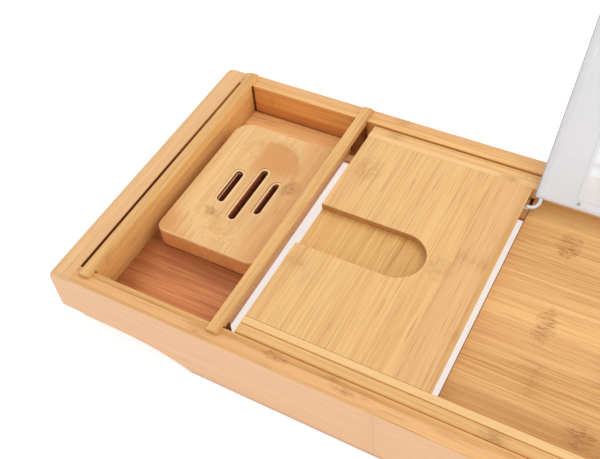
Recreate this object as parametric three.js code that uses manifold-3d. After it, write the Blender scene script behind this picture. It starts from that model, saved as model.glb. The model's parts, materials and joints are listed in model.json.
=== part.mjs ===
// A bamboo bath caddy: two end frames slide over a centre unit, a tray hangs in each end frame with a
// soap dish in the left one, and a cloth book rest on a wire frame tilts up at the back of the middle bay.

import * as THREE from "three";
import { mergeVertices } from "three/addons/utils/BufferGeometryUtils.js";
import Module from "manifold-3d";

const wasm = await Module();
wasm.setup();

// Driving dimensions in millimetres. While the pieces are made, X runs along the closed caddy from its
// left end, Y runs back from its front face, and Z is measured from the top of the outer boards.
const LENGTH = 750;
const WIDTH = 230;
const GLUE = 0.3;

const END = { outer: -4.5, inner: 15.4, crown: 9, foot: 4, corner: 2.5 };
const BOARD_THICKNESS = 13.3;
const SHALLOW_DEPTH = 39.5;
const FULL_DEPTH = 52.5;
const STEP_START = 45;
const STEP_KNEE = 80;
const STEP_END = 102;

const GROOVE = { start: 125, end: 366, top: -14, bottom: -22, depth: 5 };
const LEDGE = { width: 8, top: -32.5, bottom: -38.5 };
const PAD = { length: 60, width: 11, thickness: 1.4, inset: 20 };
const DOWEL = { radius: 4, length: 30, start: 7, height: -20 };

const TRAY_LEFT = 19.5;
const CROSS_THICKNESS = 8;
const TRAY_WIDTH = 107.8;
const FLANGE = { height: 2.7, front: 6.5, back: 228 };
const CROSS_BODY = { front: 14.6, back: 215.4, bottom: -31 };
const SLAT_BOTTOM = -2.8;
const POST = { start: 116.5, thickness: 5.4 };
const TRAY_FLOOR = { top: -25, bottom: -30 };

const DISH = { x: 75.3, y: 127.2, width: 80, length: 119, thickness: 16.5, corner: 12.5, edge: 2.2 };
const HOLLOW = { halfWidth: 28.5, straight: 48, depth: 7 };
const SLOT = { width: 3.9, pitch: 15.2, long: 50, short: 30 };

const CENTRE_START = 134.3;
const SLIDE_CLEARANCE = 1.1;
const RAIL = { width: 7.5, top: -1.2, bottom: -31.5 };
const DECK_TOP = -0.7;
const PANEL_THICKNESS = 10;
const STRIP_WIDTH = 5;
const PANEL_START = 134.6;
const PANEL_WIDTH = 124.3;
const PANEL_UNDERCUT = 2.4;
const FLOOR_START = 260.9;
const FLOOR_THICKNESS = 8.2;
const BEARER = { width: 8, bottom: -26 };
const RECESS = { front: 92.5, back: 130, reach: 83.7, depth: 5.9 };
const BLOCK = { length: 60, clearance: 0.4 };
const SCREW = { head: 3.4, shank: 1.6, length: 12, headDepth: 2.2 };

const WIRE = 1.6;
const PROP_WIRE = 1.5;
const PIVOT = { y: 189.5, z: -5.5, depth: 6, clearance: 0.3 };
const REST = { left: 266.9, height: 160, lean: 40.4, bend: 5, corner: 12 };
const CLOTH = { start: 8, end: 160, lift: 1.9, thickness: 1 };
const HEM_WIRE_HEIGHT = 11;
const PROP = { height: 40, left: 305, foot: 209.9, eye: 3.3, bend: 6 };
const SEATS = [205.6, 209.9, 213.4];
const SEAT = { radius: 1.8, lift: 0.85, margin: 4 };
const RIVET = { radius: 2.2, thickness: 0.8, inset: 24, height: 12 };

// Materials, one for each finish.
function finish(color, roughness, metalness = 0) {
  return new THREE.MeshStandardMaterial({ color, roughness, metalness });
}

const bambooTop = finish(0xe8bb86, 0.55);
const bambooSide = finish(0xe2b17a, 0.58);
const bambooPanel = finish(0xe6b87a, 0.52);
const bambooDark = finish(0xbf7d45, 0.6);
const bambooHidden = finish(0xd9a869, 0.65);
const steelWire = finish(0xd0d3d6, 0.25, 1);
const greyCloth = finish(0xdcdde0, 0.9);
const padRubber = finish(0xd8d4cc, 0.8);
const screwSteel = finish(0xb9bcc0, 0.35, 1);

// The groups: one for each body that moves on its own.
const caddy = new THREE.Group();
const centreUnit = new THREE.Group();
const leftArm = new THREE.Group();
const rightArm = new THREE.Group();
const leftTray = new THREE.Group();
const rightTray = new THREE.Group();
const bookRest = new THREE.Group();
const prop = new THREE.Group();
bookRest.add(prop);
leftArm.add(leftTray);
rightArm.add(rightTray);
caddy.add(centreUnit, leftArm, rightArm, bookRest);

function place(group, name, geometry, material) {
  const mesh = new THREE.Mesh(geometry, material);
  mesh.name = name;
  group.add(mesh);
  return mesh;
}

// Closed outlines laid out in each of the three planes and pushed through their thickness.
function pushed(outline, u, v, w, start, depth, segments = 12) {
  const made = new THREE.ExtrudeGeometry(outline, { depth, bevelEnabled: false, curveSegments: segments });
  made.applyMatrix4(new THREE.Matrix4().makeBasis(u, v, w).setPosition(w.clone().multiplyScalar(start)));
  return made;
}

const X = new THREE.Vector3(1, 0, 0);
const Y = new THREE.Vector3(0, 1, 0);
const Z = new THREE.Vector3(0, 0, 1);

function alongX(outline, x0, x1) {
  return pushed(outline, Y, Z, X, x0, x1 - x0, 4);
}

function alongY(outline, y0, y1, segments) {
  return pushed(outline, X, Z, Y.clone().negate(), -y1, y1 - y0, segments);
}

function upward(outline, z0, z1, segments) {
  return pushed(outline, X, Y, Z, z0, z1 - z0, segments);
}

function block(x0, x1, y0, y1, z0, z1) {
  const made = new THREE.BoxGeometry(x1 - x0, y1 - y0, z1 - z0);
  return made.translate((x0 + x1) / 2, (y0 + y1) / 2, (z0 + z1) / 2);
}

function rodAlongX(x0, x1, y, z, radius, sides = 16) {
  const made = new THREE.CylinderGeometry(radius, radius, x1 - x0, sides);
  return made.rotateZ(Math.PI / 2).translate((x0 + x1) / 2, y, z);
}

function roundedRect(x0, x1, y0, y1, r) {
  const s = new THREE.Shape();
  s.moveTo(x0 + r, y0);
  s.lineTo(x1 - r, y0);
  s.absarc(x1 - r, y0 + r, r, -Math.PI / 2, 0);
  s.lineTo(x1, y1 - r);
  s.absarc(x1 - r, y1 - r, r, 0, Math.PI / 2);
  s.lineTo(x0 + r, y1);
  s.absarc(x0 + r, y1 - r, r, Math.PI / 2, Math.PI);
  s.lineTo(x0, y0 + r);
  s.absarc(x0 + r, y0 + r, r, Math.PI, 1.5 * Math.PI);
  return s;
}

// Joining and cutting closed solids.
function solid(geometry) {
  const bare = geometry.index ? geometry.toNonIndexed() : geometry.clone();
  bare.deleteAttribute("normal");
  bare.deleteAttribute("uv");
  const merged = mergeVertices(bare, 1e-4);
  return new wasm.Manifold(
    new wasm.Mesh({
      numProp: 3,
      vertProperties: merged.attributes.position.array,
      triVerts: new Uint32Array(merged.index.array),
    }),
  );
}

function geometryOf(shape) {
  const mesh = shape.getMesh();
  const made = new THREE.BufferGeometry();
  made.setAttribute("position", new THREE.BufferAttribute(mesh.vertProperties, 3));
  made.setIndex(new THREE.BufferAttribute(mesh.triVerts, 1));
  made.computeVertexNormals();
  return made;
}

function cut(body, ...tools) {
  return geometryOf(tools.reduce((left, tool) => left.subtract(solid(tool)), solid(body)));
}

// Mirrored spans for the right-hand half.
function span(side, x0, x1) {
  return side === "left" ? [x0, x1] : [LENGTH - x1, LENGTH - x0];
}

// The end frames: an end board, two side boards with a stepped lower edge, ledges, pads and dowels.
function sideBoardOutline(side) {
  const at = (x) => (side === "left" ? x : LENGTH - x);
  const inner = LENGTH / 2 - GLUE / 2;
  const s = new THREE.Shape();
  s.moveTo(at(END.inner + GLUE), 0);
  s.lineTo(at(END.inner + GLUE), -SHALLOW_DEPTH);
  s.lineTo(at(STEP_START), -SHALLOW_DEPTH);
  s.bezierCurveTo(at(58), -SHALLOW_DEPTH, at(70), -41.2, at(STEP_KNEE), -44);
  s.bezierCurveTo(at(87), -46, at(94.5), -48.8, at(STEP_END), -FULL_DEPTH);
  s.lineTo(at(inner), -FULL_DEPTH);
  s.lineTo(at(inner), 0);
  s.closePath();
  return s;
}

// The end board's section has a wide round crown and a smaller round foot on its outer side.
function endBoardOutline(side) {
  const at = (x) => (side === "left" ? x : LENGTH - x);
  const { outer, inner, crown, foot } = END;
  const handle = 0.448;
  const s = new THREE.Shape();
  s.moveTo(at(inner), 0);
  s.lineTo(at(outer + crown), 0);
  s.bezierCurveTo(at(outer + handle * crown), 0, at(outer), -handle * crown, at(outer), -crown);
  s.lineTo(at(outer), foot - SHALLOW_DEPTH);
  s.bezierCurveTo(
    at(outer),
    handle * foot - SHALLOW_DEPTH,
    at(outer + handle * foot),
    -SHALLOW_DEPTH,
    at(outer + foot),
    -SHALLOW_DEPTH,
  );
  s.lineTo(at(inner), -SHALLOW_DEPTH);
  s.closePath();
  return s;
}

function endBoard(side, holes) {
  const [x0, x1] = span(side, END.outer, END.inner + END.corner);
  const plan = upward(roundedRect(x0, x1, 0, WIDTH, END.corner), -SHALLOW_DEPTH - 1, 1, 4);
  const board = solid(alongY(endBoardOutline(side), 0, WIDTH, 8)).intersect(solid(plan));
  return cut(geometryOf(board), ...holes);
}

function endFrame(side, group) {
  const [d0, d1] = span(side, DOWEL.start, DOWEL.start + DOWEL.length);
  const [g0, g1] = span(side, GROOVE.start, GROOVE.end);
  const [l0, l1] = span(side, END.inner + 2 * GLUE, LENGTH / 2 - 1);
  const [p0, p1] = span(side, 2, 2 + PAD.width);
  const rows = {
    front: { y0: 0, y1: BOARD_THICKNESS, inner: BOARD_THICKNESS, into: -1 },
    back: { y0: WIDTH - BOARD_THICKNESS, y1: WIDTH, inner: WIDTH - BOARD_THICKNESS, into: 1 },
  };
  const holes = [];
  for (const [where, row] of Object.entries(rows)) {
    const middle = (row.y0 + row.y1) / 2;
    const hole = rodAlongX(d0 - GLUE, d1 + GLUE, middle, DOWEL.height, DOWEL.radius + GLUE);
    const floor = row.inner + row.into * GROOVE.depth;
    const groove = block(
      g0,
      g1,
      Math.min(floor, row.inner - row.into),
      Math.max(floor, row.inner - row.into),
      GROOVE.bottom,
      GROOVE.top,
    );
    holes.push(hole);
    const board = alongY(sideBoardOutline(side), row.y0, row.y1);
    place(group, side + "_" + where + "_board", cut(board, groove, hole), bambooSide);
    const ledgeFar = row.inner - row.into * (LEDGE.width + GLUE);
    const ledgeNear = row.inner - row.into * GLUE;
    const ledge = block(
      l0,
      l1,
      Math.min(ledgeNear, ledgeFar),
      Math.max(ledgeNear, ledgeFar),
      LEDGE.bottom,
      LEDGE.top,
    );
    place(group, side + "_" + where + "_ledge", ledge, bambooHidden);
    const dowel = rodAlongX(d0, d1, middle, DOWEL.height, DOWEL.radius);
    place(group, side + "_" + where + "_dowel", dowel, bambooHidden);
    const padEnd = where === "front" ? PAD.inset : WIDTH - PAD.inset - PAD.length;
    const padTop = -SHALLOW_DEPTH - GLUE;
    const pad = block(p0, p1, padEnd, padEnd + PAD.length, padTop - PAD.thickness, padTop);
    place(group, side + "_" + where + "_pad", pad, padRubber);
  }
  place(group, side + "_end_board", endBoard(side, holes), bambooTop);
}

endFrame("left", leftArm);
endFrame("right", rightArm);

// The hanging trays: a deep outer bar and a shallow divider slat that lap over the side boards, and a
// floor that runs from the bar to two posts under the slat.
function crossBoardOutline(bottom) {
  const s = new THREE.Shape();
  s.moveTo(CROSS_BODY.front, bottom);
  s.lineTo(CROSS_BODY.back, bottom);
  s.lineTo(CROSS_BODY.back, GLUE);
  s.lineTo(FLANGE.back, GLUE);
  s.lineTo(FLANGE.back, GLUE + FLANGE.height);
  s.lineTo(FLANGE.front, GLUE + FLANGE.height);
  s.lineTo(FLANGE.front, GLUE);
  s.lineTo(CROSS_BODY.front, GLUE);
  s.closePath();
  return s;
}

function hangingTray(side, group) {
  const outer = span(side, TRAY_LEFT, TRAY_LEFT + CROSS_THICKNESS);
  const inner = span(side, TRAY_LEFT + TRAY_WIDTH - CROSS_THICKNESS, TRAY_LEFT + TRAY_WIDTH);
  const [f0, f1] = span(side, TRAY_LEFT + CROSS_THICKNESS + GLUE, POST.start - GLUE);
  const [p0, p1] = span(side, POST.start, TRAY_LEFT + TRAY_WIDTH);
  place(group, side + "_tray_outer_bar", alongX(crossBoardOutline(CROSS_BODY.bottom), ...outer), bambooTop);
  place(group, side + "_tray_divider", alongX(crossBoardOutline(SLAT_BOTTOM), ...inner), bambooTop);
  for (const where of ["front", "back"]) {
    const y0 = where === "front" ? CROSS_BODY.front : CROSS_BODY.back - POST.thickness;
    const post = block(p0, p1, y0, y0 + POST.thickness, CROSS_BODY.bottom, SLAT_BOTTOM - GLUE);
    place(group, side + "_tray_" + where + "_post", post, bambooHidden);
  }
  const floor = block(f0, f1, CROSS_BODY.front, CROSS_BODY.back, TRAY_FLOOR.bottom, TRAY_FLOOR.top);
  place(group, side + "_tray_floor", floor, bambooDark);
}

hangingTray("left", leftTray);
hangingTray("right", rightTray);

// The soap dish: a rounded block with a stadium-shaped scooped hollow and three drain slots.
function stadium(cx, cy, width, length) {
  return roundedRect(
    cx - width / 2,
    cx + width / 2,
    cy - length / 2,
    cy + length / 2,
    width / 2 - 1e-3,
  );
}

function soapDish() {
  const { x, y, width, length, thickness, corner, edge } = DISH;
  const bottom = TRAY_FLOOR.top + GLUE;
  const top = bottom + thickness;
  const plan = roundedRect(x - width / 2, x + width / 2, y - length / 2, y + length / 2, corner);
  const body = new THREE.ExtrudeGeometry(plan, {
    depth: thickness - 2 * edge,
    bevelThickness: edge,
    bevelSize: edge,
    bevelOffset: -edge,
    bevelSegments: 3,
    curveSegments: 8,
  });
  body.translate(0, 0, bottom + edge);
  const scoopRadius = (HOLLOW.halfWidth ** 2 + HOLLOW.depth ** 2) / (2 * HOLLOW.depth);
  const scoop = new THREE.CapsuleGeometry(scoopRadius, HOLLOW.straight, 20, 56);
  scoop.translate(x, y, top - HOLLOW.depth + scoopRadius);
  const slots = [-1, 0, 1].map((i) => {
    const slot = stadium(x + i * SLOT.pitch, y, SLOT.width, i ? SLOT.short : SLOT.long);
    return upward(slot, bottom - 1, top + 1, 6);
  });
  return cut(body, scoop, ...slots);
}

place(leftTray, "soap_dish", soapDish(), bambooPanel);

// The centre unit: rails, inner strips, panels, floor, bearers, slide blocks and screws.
const railOuter = BOARD_THICKNESS + SLIDE_CLEARANCE;
const railInner = railOuter + RAIL.width;
const stripOuter = railInner + GLUE / 2;
const stripInner = stripOuter + STRIP_WIDTH;
const deckFront = stripInner + GLUE;
const deckBack = WIDTH - deckFront;
const centreEnd = LENGTH - CENTRE_START;
const deckBottom = DECK_TOP - PANEL_THICKNESS;
const floorTop = deckBottom - GLUE;
const floorBottom = floorTop - FLOOR_THICKNESS;
const floorEnd = LENGTH - FLOOR_START;
const blockMiddles = { left: CENTRE_START + BLOCK.length / 2, right: centreEnd - BLOCK.length / 2 };
const grooveMiddle = (GROOVE.top + GROOVE.bottom) / 2;

function across(where, y0, y1) {
  return where === "front" ? [y0, y1] : [WIDTH - y1, WIDTH - y0];
}

// A countersunk screw through a slide block into the rail, and the hole that it sits in.
function screwProfile(growth) {
  const { head, shank, length, headDepth } = SCREW;
  return [
    new THREE.Vector2(0, -length - growth),
    new THREE.Vector2(shank + growth, -length + shank - growth),
    new THREE.Vector2(shank + growth, -headDepth),
    new THREE.Vector2(head + growth, growth),
    new THREE.Vector2(0, growth),
  ];
}

function screwAt(x, where, growth) {
  const start = BOARD_THICKNESS - GROOVE.depth + BLOCK.clearance + 0.5;
  const made = new THREE.LatheGeometry(screwProfile(growth), 12);
  if (where === "front") {
    return made.rotateX(Math.PI).translate(x, start, grooveMiddle);
  }
  return made.translate(x, WIDTH - start, grooveMiddle);
}

function seatCut(y) {
  const x0 = PROP.left - PROP_WIRE - SEAT.margin;
  return rodAlongX(x0, LENGTH - x0, y, RAIL.top + SEAT.lift, SEAT.radius, 20);
}

for (const where of ["front", "back"]) {
  const holes = Object.values(blockMiddles).map((x) => screwAt(x, where, GLUE));
  const seats = where === "back" ? SEATS.map(seatCut) : [];
  const rail = block(CENTRE_START, centreEnd, ...across(where, railOuter, railInner), RAIL.bottom, RAIL.top);
  place(centreUnit, where + "_rail", cut(rail, ...holes, ...seats), bambooTop);
  const strip = block(CENTRE_START, centreEnd, ...across(where, stripOuter, stripInner), deckBottom, DECK_TOP);
  place(centreUnit, where + "_strip", seats.length ? cut(strip, ...seats) : strip, bambooTop);

  const bearerSpan = across(where, stripOuter, stripOuter + BEARER.width);
  const bearer = block(CENTRE_START, centreEnd, ...bearerSpan, BEARER.bottom, floorBottom - GLUE);
  place(centreUnit, where + "_bearer", bearer, bambooHidden);
  for (const side of ["left", "right"]) {
    const packer = block(
      ...span(side, CENTRE_START, FLOOR_START - 2),
      ...bearerSpan,
      floorBottom,
      floorTop,
    );
    place(centreUnit, side + "_" + where + "_packer", packer, bambooHidden);
    const middle = blockMiddles[side];
    const slideBlock = block(
      middle - BLOCK.length / 2,
      middle + BLOCK.length / 2,
      ...across(where, BOARD_THICKNESS - GROOVE.depth + BLOCK.clearance, railOuter - GLUE),
      GROOVE.bottom + BLOCK.clearance,
      GROOVE.top - BLOCK.clearance,
    );
    const name = side + "_" + where;
    place(centreUnit, name + "_slide_block", cut(slideBlock, screwAt(middle, where, GLUE)), bambooHidden);
    place(centreUnit, name + "_screw", screwAt(middle, where, 0), screwSteel);
  }
}

// A panel has a shallow recess with a round end, open at its outer edge, a blind hole for the rest and
// an inner edge that slopes back underneath.
const panelEnd = PANEL_START + PANEL_WIDTH;

function recessOutline(side) {
  const r = (RECESS.back - RECESS.front) / 2;
  const middle = (RECESS.back + RECESS.front) / 2;
  const [x0, x1] = span(side, PANEL_START - 1, PANEL_START + RECESS.reach);
  const s = new THREE.Shape();
  if (side === "left") {
    s.moveTo(x0, RECESS.front);
    s.lineTo(x1 - r, RECESS.front);
    s.absarc(x1 - r, middle, r, -Math.PI / 2, Math.PI / 2);
    s.lineTo(x0, RECESS.back);
  } else {
    s.moveTo(x1, RECESS.back);
    s.lineTo(x0 + r, RECESS.back);
    s.absarc(x0 + r, middle, r, Math.PI / 2, 1.5 * Math.PI);
    s.lineTo(x1, RECESS.front);
  }
  s.closePath();
  return s;
}

function panelOutline(side) {
  const at = (x) => (side === "left" ? x : LENGTH - x);
  const s = new THREE.Shape();
  s.moveTo(at(PANEL_START), DECK_TOP);
  s.lineTo(at(PANEL_START), deckBottom);
  s.lineTo(at(panelEnd - PANEL_UNDERCUT), deckBottom);
  s.lineTo(at(panelEnd), DECK_TOP);
  s.closePath();
  return s;
}

for (const side of ["left", "right"]) {
  const [h0, h1] = span(side, panelEnd - PIVOT.depth - GLUE, panelEnd + 1);
  const hole = rodAlongX(h0, h1, PIVOT.y, PIVOT.z, WIRE + PIVOT.clearance);
  const recess = upward(recessOutline(side), DECK_TOP - RECESS.depth, DECK_TOP + 1);
  const panel = alongY(panelOutline(side), deckFront, deckBack);
  place(centreUnit, side + "_panel", cut(panel, recess, hole), bambooPanel);
}

const floor = block(FLOOR_START, floorEnd, stripOuter, WIDTH - stripOuter, floorBottom, floorTop);
place(centreUnit, "centre_floor", floor, bambooPanel);

// Bent wires: straight runs joined by round bends of the given radii, swept by a ring of points.
class BentWire extends THREE.Curve {
  constructor(corners, radii, arcSteps = 5) {
    super();
    this.points = [corners[0]];
    for (let i = 1; i < corners.length - 1; i++) {
      const here = corners[i];
      const radius = radii[i - 1];
      const back = corners[i - 1].clone().sub(here).normalize();
      const ahead = corners[i + 1].clone().sub(here).normalize();
      const half = back.angleTo(ahead) / 2;
      const reach = radius / Math.tan(half);
      const inwards = back.clone().add(ahead).normalize();
      const centre = here.clone().addScaledVector(inwards, radius / Math.sin(half));
      const from = here.clone().addScaledVector(back, reach).sub(centre);
      const to = here.clone().addScaledVector(ahead, reach).sub(centre);
      const turn = from.angleTo(to);
      for (let k = 0; k <= arcSteps; k++) {
        const t = k / arcSteps;
        const a = Math.sin((1 - t) * turn) / Math.sin(turn);
        const b = Math.sin(t * turn) / Math.sin(turn);
        this.points.push(centre.clone().addScaledVector(from, a).addScaledVector(to, b));
      }
    }
    this.points.push(corners[corners.length - 1]);
  }

  getPoint(t, target = new THREE.Vector3()) {
    const last = this.points.length - 1;
    const i = Math.min(Math.floor(t * last), last - 1);
    return target.lerpVectors(this.points[i], this.points[i + 1], t * last - i);
  }

  getUtoTmapping(u) {
    return u;
  }
}

function sweep(curve, radius, sides = 8) {
  const ring = new THREE.Shape();
  for (let i = 0; i < sides; i++) {
    const a = (2 * Math.PI * i) / sides;
    ring[i ? "lineTo" : "moveTo"](radius * Math.cos(a), radius * Math.sin(a));
  }
  ring.closePath();
  return new THREE.ExtrudeGeometry(ring, {
    steps: curve.points.length - 1,
    extrudePath: curve,
    bevelEnabled: false,
  });
}

// The book rest, laid out by height up its slope and by lift off its plane towards the reader.
const lean = THREE.MathUtils.degToRad(REST.lean);
const upSlope = new THREE.Vector3(0, Math.cos(lean), Math.sin(lean));
const toReader = new THREE.Vector3(0, -Math.sin(lean), Math.cos(lean));
const restRight = LENGTH - REST.left;

function onRest(x, height, lift = 0) {
  const p = new THREE.Vector3(x, PIVOT.y, PIVOT.z);
  return p.addScaledVector(upSlope, height).addScaledVector(toReader, lift);
}

const stubStart = panelEnd - PIVOT.depth;
const restFrame = new BentWire(
  [
    onRest(stubStart, 0),
    onRest(REST.left, 0),
    onRest(REST.left, REST.height),
    onRest(restRight, REST.height),
    onRest(restRight, 0),
    onRest(LENGTH - stubStart, 0),
  ],
  [REST.bend, REST.corner, REST.corner, REST.bend],
);
place(bookRest, "rest_frame_wire", sweep(restFrame, WIRE), steelWire);

const gap = WIRE + GLUE;
const hemWire = [onRest(REST.left + gap, HEM_WIRE_HEIGHT), onRest(restRight - gap, HEM_WIRE_HEIGHT)];
place(bookRest, "rest_hem_wire", rodAlongX(hemWire[0].x, hemWire[1].x, hemWire[0].y, hemWire[0].z, WIRE, 8), steelWire);

const barAt = onRest(0, PROP.height, -(WIRE + PROP_WIRE + GLUE));
const propBar = rodAlongX(REST.left - WIRE, restRight + WIRE, barAt.y, barAt.z, PROP_WIRE, 10);
place(bookRest, "rest_prop_bar", propBar, steelWire);

function clothSlab() {
  const x0 = REST.left - WIRE;
  const width = LENGTH - 2 * x0;
  const length = CLOTH.end - CLOTH.start;
  const made = new THREE.BoxGeometry(width, length, CLOTH.thickness);
  made.rotateX(lean);
  const middle = onRest(LENGTH / 2, (CLOTH.start + CLOTH.end) / 2, CLOTH.lift + CLOTH.thickness / 2);
  return made.translate(middle.x, middle.y, middle.z);
}

place(bookRest, "rest_cloth", clothSlab(), greyCloth);

for (const side of ["left", "right"]) {
  const x = side === "left" ? REST.left + RIVET.inset : restRight - RIVET.inset;
  const rivet = new THREE.CylinderGeometry(RIVET.radius, RIVET.radius, RIVET.thickness, 16);
  rivet.rotateX(Math.PI / 2 + lean);
  const lift = CLOTH.lift + CLOTH.thickness + GLUE + RIVET.thickness / 2;
  const at = onRest(x, RIVET.height, lift);
  place(bookRest, side + "_rest_rivet", rivet.translate(at.x, at.y, at.z), screwSteel);
}

// The prop: a wire strut with an eye round the bar at each end and its foot in a seat on the back rail.
const footAt = new THREE.Vector2(PROP.foot, RAIL.top + SEAT.lift);
const reach = footAt.distanceTo(new THREE.Vector2(barAt.y, barAt.z));
const legLength = Math.sqrt(reach ** 2 - PROP.eye ** 2);
const legAngle = Math.atan2(footAt.y - barAt.z, footAt.x - barAt.y) + Math.atan2(PROP.eye, legLength);

function propPoint(x, along, aside) {
  const c = Math.cos(legAngle);
  const s = Math.sin(legAngle);
  return new THREE.Vector3(x, barAt.y + along * c + aside * s, barAt.z + along * s - aside * c);
}

function eyeArc(x) {
  const points = [];
  for (let k = 0; k < 7; k++) {
    const a = THREE.MathUtils.degToRad(270 - 45 * k);
    points.push(propPoint(x, -PROP.eye * Math.cos(a), -PROP.eye * Math.sin(a)));
  }
  return points;
}

const propRight = LENGTH - PROP.left;
const propPath = new BentWire(
  [
    propPoint(PROP.left, 0, PROP.eye),
    propPoint(PROP.left, legLength, PROP.eye),
    propPoint(propRight, legLength, PROP.eye),
    propPoint(propRight, 0, PROP.eye),
  ],
  [PROP.bend, PROP.bend],
  4,
);
propPath.points = [...eyeArc(PROP.left).reverse(), ...propPath.points, ...eyeArc(propRight)];
place(prop, "rest_prop", sweep(propPath, PROP_WIRE), steelWire);

// The origin sits at the middle of the underside of the whole caddy with its rest raised.
const box = new THREE.Box3().setFromObject(caddy, true);
caddy.position.set(-(box.min.x + box.max.x) / 2, -(box.min.y + box.max.y) / 2, -box.min.z);

const caddyModel = new THREE.Group();
caddyModel.add(caddy);

export default caddyModel;
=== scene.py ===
# The looks of a bamboo bath caddy: boards with eased edges and a bamboo grain, a scooped soap dish,
# panels with a recess, bright wires and a thin grey cloth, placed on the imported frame.

import json
import math

import bmesh
import bpy
from mathutils import Matrix, Vector
from mathutils.geometry import interpolate_bezier


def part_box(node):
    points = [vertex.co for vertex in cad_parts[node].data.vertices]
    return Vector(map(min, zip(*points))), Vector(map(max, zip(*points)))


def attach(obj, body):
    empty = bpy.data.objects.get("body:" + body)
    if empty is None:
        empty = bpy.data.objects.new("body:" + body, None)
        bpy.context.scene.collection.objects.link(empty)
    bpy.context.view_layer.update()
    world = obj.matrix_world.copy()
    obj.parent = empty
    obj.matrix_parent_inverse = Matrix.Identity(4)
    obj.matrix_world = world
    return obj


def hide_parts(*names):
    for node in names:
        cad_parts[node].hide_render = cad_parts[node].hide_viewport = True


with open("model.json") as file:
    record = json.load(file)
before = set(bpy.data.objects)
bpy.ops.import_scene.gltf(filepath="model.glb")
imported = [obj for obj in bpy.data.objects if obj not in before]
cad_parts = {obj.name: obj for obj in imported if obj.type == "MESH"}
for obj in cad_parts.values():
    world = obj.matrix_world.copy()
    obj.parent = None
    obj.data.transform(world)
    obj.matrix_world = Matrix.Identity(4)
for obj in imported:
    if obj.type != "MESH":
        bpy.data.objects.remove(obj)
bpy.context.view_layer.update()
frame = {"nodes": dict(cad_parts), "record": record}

# Places are written in millimetres from a point on the frame's top near its front left corner: X along
# the caddy, Y towards its back, Z up. The end boards reach a little past the ends of that length.
MM = 0.001
LENGTH = 750
WIDTH = 230
END = {"outer": -4.5, "inner": 15.4, "crown": 9, "foot": 4, "corner": 3}
end_low, end_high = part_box("left_end_board")
CORNER = Vector((end_low.x - END["outer"] * MM, end_low.y, end_high.z))

BODIES = {name: body for body, names in frame["record"]["behaviour"]["bodies"].items() for name in names}


def at(x, y, z):
    """A place in metres from one in millimetres."""
    return CORNER + Vector((x, y, z)) * MM


def from_end(side, x):
    """A place along the caddy, measured from its own side's end."""
    return x if side == "left" else LENGTH - x


def node_box(name):
    """A node's lowest and highest corner in millimetres from the corner."""
    low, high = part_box(name)
    return (low - CORNER) / MM, (high - CORNER) / MM


def linked(name, data):
    """A new object in the scene."""
    made = bpy.data.objects.new(name, data)
    bpy.context.scene.collection.objects.link(made)
    return made


# Camera: it looks down at the left end from the front, a little turned on its own axis.
CAMERA_PLACE = Vector((-0.036778, -0.365089, 0.487419))
CAMERA_TURN = math.radians(33.474)
CAMERA_DOWN = math.radians(49.373)
CAMERA_ROLL = math.radians(-6.44)
CAMERA_LENS = 51.412


def add_camera():
    data = bpy.data.cameras.new("photo camera")
    data.sensor_width = 36
    data.lens = CAMERA_LENS
    data.clip_start = 0.01
    data.clip_end = 50
    camera = linked("photo camera", data)
    level = Matrix.Rotation(CAMERA_TURN, 4, "Z") @ Matrix.Rotation(math.pi / 2 - CAMERA_DOWN, 4, "X")
    camera.matrix_world = Matrix.Translation(CAMERA_PLACE) @ level @ Matrix.Rotation(CAMERA_ROLL, 4, "Z")
    bpy.context.scene.camera = camera


add_camera()


# Materials are wired by a few short words.
class Wiring:
    """Adds nodes to a tree and joins them; a value may be a number, a colour or another node's socket."""

    def __init__(self, tree):
        self.tree = tree

    def add(self, kind, inputs=(), **settings):
        node = self.tree.nodes.new(kind)
        for name, value in settings.items():
            setattr(node, name, value)
        for key, value in dict(inputs).items():
            self.put(node.inputs[key], value)
        return node

    def put(self, socket, value):
        if isinstance(value, bpy.types.NodeSocket):
            self.tree.links.new(value, socket)
        else:
            socket.default_value = value

    def math(self, operation, a, b=0.0, c=0.0):
        return self.add("ShaderNodeMath", {0: a, 1: b, 2: c}, operation=operation).outputs[0]

    def plus(self, a, b):
        return self.math("ADD", a, b)

    def minus(self, a, b):
        return self.math("SUBTRACT", a, b)

    def times(self, a, b):
        return self.math("MULTIPLY", a, b)

    def vector(self, operation, a, b):
        return self.add("ShaderNodeVectorMath", {0: a, 1: b}, operation=operation).outputs[0]

    def join(self, x, y, z=0.0):
        return self.add("ShaderNodeCombineXYZ", {0: x, 1: y, 2: z}).outputs[0]

    def split(self, vector):
        return self.add("ShaderNodeSeparateXYZ", {0: vector}).outputs

    def place(self):
        return self.add("ShaderNodeTexCoord").outputs["Object"]

    def noise(self, vector, detail=2.0, roughness=0.5):
        values = {"Vector": vector, "Scale": 1.0, "Detail": detail, "Roughness": roughness}
        return self.add("ShaderNodeTexNoise", values).outputs["Fac"]

    def scatter(self, vector):
        return self.add("ShaderNodeTexWhiteNoise", {"Vector": vector}, noise_dimensions="3D").outputs

    def between(self, value, low, high, start=0.0, end=1.0):
        values = {"Value": value, "From Min": low, "From Max": high, "To Min": start, "To Max": end}
        return self.add("ShaderNodeMapRange", values, interpolation_type="SMOOTHSTEP").outputs["Result"]

    def blend(self, amount, a, b):
        node = self.add("ShaderNodeMix", {0: amount}, data_type="RGBA")
        self.put(node.inputs[6], a)
        self.put(node.inputs[7], b)
        return node.outputs[2]

    def grain(self, fineness, detail=2.0):
        """A noise with its own fineness along X, Y and Z of the piece."""
        return self.noise(self.vector("MULTIPLY", self.place(), fineness), detail)

    def either_side(self, noise, reach):
        """A noise made to swing about zero, by half the reach either way."""
        return self.times(self.minus(noise, 0.5), reach)

    def bump(self, height, strength, distance):
        values = {"Strength": strength, "Distance": distance, "Height": height}
        return self.add("ShaderNodeBump", values).outputs[0]


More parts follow.
